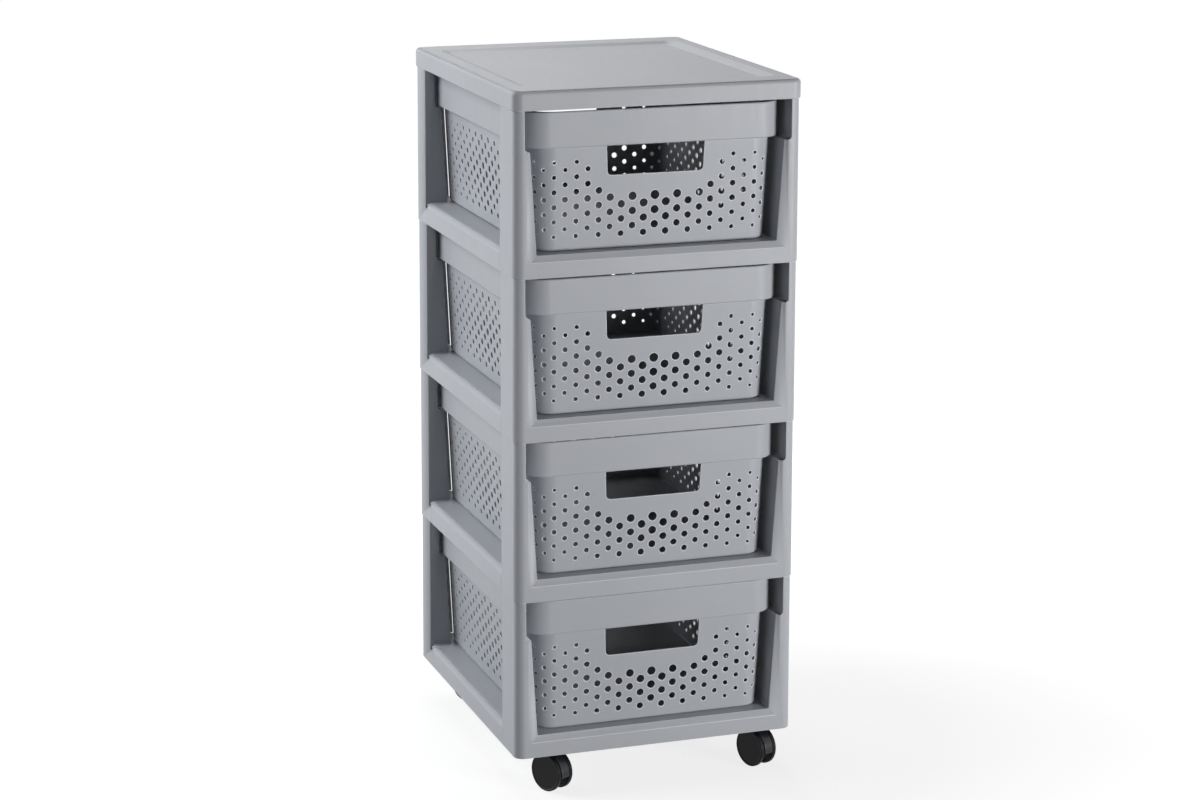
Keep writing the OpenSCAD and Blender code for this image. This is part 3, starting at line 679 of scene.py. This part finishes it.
def add_drawers(material):
    """One perforated basket, shown once in each tier."""
    low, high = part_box("drawer_1")
    half = (Vector(high) - Vector(low)) / MM / 2
    mesh = drawer_mesh(half.x, half.y, 2 * half.z)
    mesh.materials.append(material)
    for name in NODES:
        if name.startswith("drawer"):
            piece = bpy.data.objects.new(name + "_basket", mesh)
            piece.location.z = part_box(name)[0][2]
            bpy.context.scene.collection.objects.link(piece)
            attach(piece, BODY_OF[name])
            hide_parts(name)


# Outline of a drawer stop, (x, z) in millimetres from the tower's middle and the tier's underside
STOP = ((128.0, 22.0), (113.6, 22.0), (118.6, 125.3), (124.0, 126.0), (124.0, 164.0), (141.0, 164.0),
        (141.0, 126.0), (134.4, 125.3))
STOP_INSETS = (2.9, 0.4)        # its two sides, from the back of the frame


def add_stops(shape, name):
    """Lips behind the drawer at the back of both guides, which the CAD frame lacks."""
    low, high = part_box(name)
    for sign in (-1, 1):
        front, back = ([shape.verts.new((sign * x * MM, high[1] - inset * MM, low[2] + z * MM))
                        for x, z in STOP] for inset in STOP_INSETS)
        faces = [shape.faces.new(front), shape.faces.new(back)]
        for a, b, c, d in zip(front, front[1:] + front[:1], back[1:] + back[:1], back):
            faces.append(shape.faces.new((a, b, c, d)))
        bmesh.ops.recalc_face_normals(shape, faces=faces)


# Which edges of the CAD's forms are rounded
WELD = 2e-6
SAME_PLANE = math.radians(0.4)  # faces that lean by less than this against each other become one
SHARP = math.radians(30)
TRAY_EDGE = math.radians(8)     # the cover's tray has slopes that meet its rim and its floor at 13 degrees
UPWARD = 0.9                    # least upward part of the normals beside such an edge
NARROW = math.radians(25)       # no edge is rounded near a corner as narrow as this
CUSP_CLEAR = 0.003
EDGE_SEGMENTS = 2

# How the pieces are finished, by how their names begin and end: rounding in millimetres, and slot
FINISHES = (
    ("tier", "", 0.6, "frame_plastic"),
    ("top_cover", "", 0.9, "frame_plastic"),
    ("caster", "hood", 0.35, "hood_plastic"),
    ("caster", "wheel", 0.3, "wheel_plastic"),
    ("caster", "", 0.2, "caster_steel"),
)


def is_edge(edge):
    """True where two faces meet sharply, or where the tray's slope begins or ends."""
    angle = edge.calc_face_angle(0)
    return angle > SHARP or angle > TRAY_EDGE and all(face.normal.z > UPWARD for face in edge.link_faces)


def edges_to_round(shape):
    sharp = {e for e in shape.edges if len(e.link_faces) == 2 and is_edge(e)}
    cusps = [loop.vert.co.copy() for face in shape.faces for loop in face.loops
             if loop.calc_angle() < NARROW and loop.edge in sharp and loop.link_loop_prev.edge in sharp]
    return [e for e in shape.edges
            if e in sharp and all((v.co - cusp).length > CUSP_CLEAR for v in e.verts for cusp in cusps)]


def rounded_copy(name, width, material):
    """The node's form with its sharp edges rounded and painted lighter, a painted highlight that partly
    stands for rubbed wear, standing for the node.
    """
    shape = bmesh.new()
    shape.from_mesh(NODES[name].data)
    worn_and_lit = shape.verts.layers.float.new(EDGE_WEAR_AND_HIGHLIGHT)
    low, high = ([end(v.co[i] for v in shape.verts) for i in range(3)] for end in (min, max))
    bmesh.ops.remove_doubles(shape, verts=shape.verts, dist=WELD)
    bmesh.ops.dissolve_limit(shape, angle_limit=SAME_PLANE, verts=shape.verts, edges=shape.edges)
    if name.endswith("back_frame"):
        add_stops(shape, name)
    made = bmesh.ops.bevel(shape, geom=edges_to_round(shape), offset=width * MM, offset_type="OFFSET",
                           segments=EDGE_SEGMENTS, profile=0.5, affect="EDGES", clamp_overlap=False,
                           loop_slide=False)
    rounded = set(made["faces"])
    # The rounding's middle corners are painted lighter: a painted highlight, partly rubbed wear.
    for vert in made["verts"]:
        if all(face in rounded for face in vert.link_faces):
            vert[worn_and_lit] = 1.0
    for vert in shape.verts:    # a bevel's corner can reach past the CAD's box by a hair
        vert.co = [min(max(c, a), b) for c, a, b in zip(vert.co, low, high)]
    mesh = bpy.data.meshes.new(name + "_moulding")
    shape.to_mesh(mesh)
    shape.free()
    if "custom_normal" in mesh.attributes:
        mesh.attributes.remove(mesh.attributes["custom_normal"])
    mesh.shade_smooth()
    mesh.materials.clear()
    mesh.materials.append(material)
    piece = bpy.data.objects.new(name + "_moulding", mesh)
    bpy.context.scene.collection.objects.link(piece)
    even = piece.modifiers.new("even_normals", "WEIGHTED_NORMAL")
    even.weight = 100
    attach(piece, BODY_OF[name])
    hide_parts(name)


AMBIENT = 0.01
# Soft boxes: place, size, power in watts and colour
LIGHTS = {
    "front_low": ((1.5, -2.4, 0.35), (1.0, 1.0), 69, WHITE),
    "back_left": ((-2.1, 1.5, 1.0), (1.5, 1.5), 36, COOL),
    "left_high": ((-2.2, 0.6, 2.2), (1.2, 1.2), 30, COOL),
    "top_back": ((0.0, 1.8, 2.4), (1.5, 1.5), 24, WHITE),
}


def add_world():
    """White to look at, with very little light of its own."""
    n = Nodes(bpy.data.worlds.new("studio"))
    soft, white = (n.add("ShaderNodeBackground", {"Color": rgba(colour), "Strength": level}).outputs[0]
                   for colour, level in ((COOL, AMBIENT), (WHITE, 1.0)))
    n.add("ShaderNodeOutputWorld", {"Surface": white_to_view(n, soft, white)})
    bpy.context.scene.world = n.owner


def add_light(name, place, size, power, colour):
    """A soft box at a place, facing the middle of the tower."""
    data = bpy.data.lights.new(name, "AREA")
    data.shape, data.size, data.size_y = "RECTANGLE", *size
    data.energy, data.color = power, colour
    light = bpy.data.objects.new(name, data)
    light.location = place
    middle = (CAD_BOX[0] + CAD_BOX[1]) / 2
    light.rotation_euler = (middle - Vector(place)).to_track_quat("-Z", "Y").to_euler()
    bpy.context.scene.collection.objects.link(light)


def main():
    bpy.context.scene.view_settings.view_transform = "Standard"
    add_camera()
    add_floor()
    add_world()
    for name, (place, size, power, colour) in LIGHTS.items():
        add_light(name, place, size, power, colour)

    materials = {slot: moulded_plastic(slot, *look) for slot, look in PLASTICS.items()}
    materials["caster_steel"] = plated_steel("caster_steel")
    add_drawers(materials["drawer_plastic"])
    for name in NODES:
        for start, end, width, slot in FINISHES:
            if name.startswith(start) and name.endswith(end):
                rounded_copy(name, width, materials[slot])
                break


main()
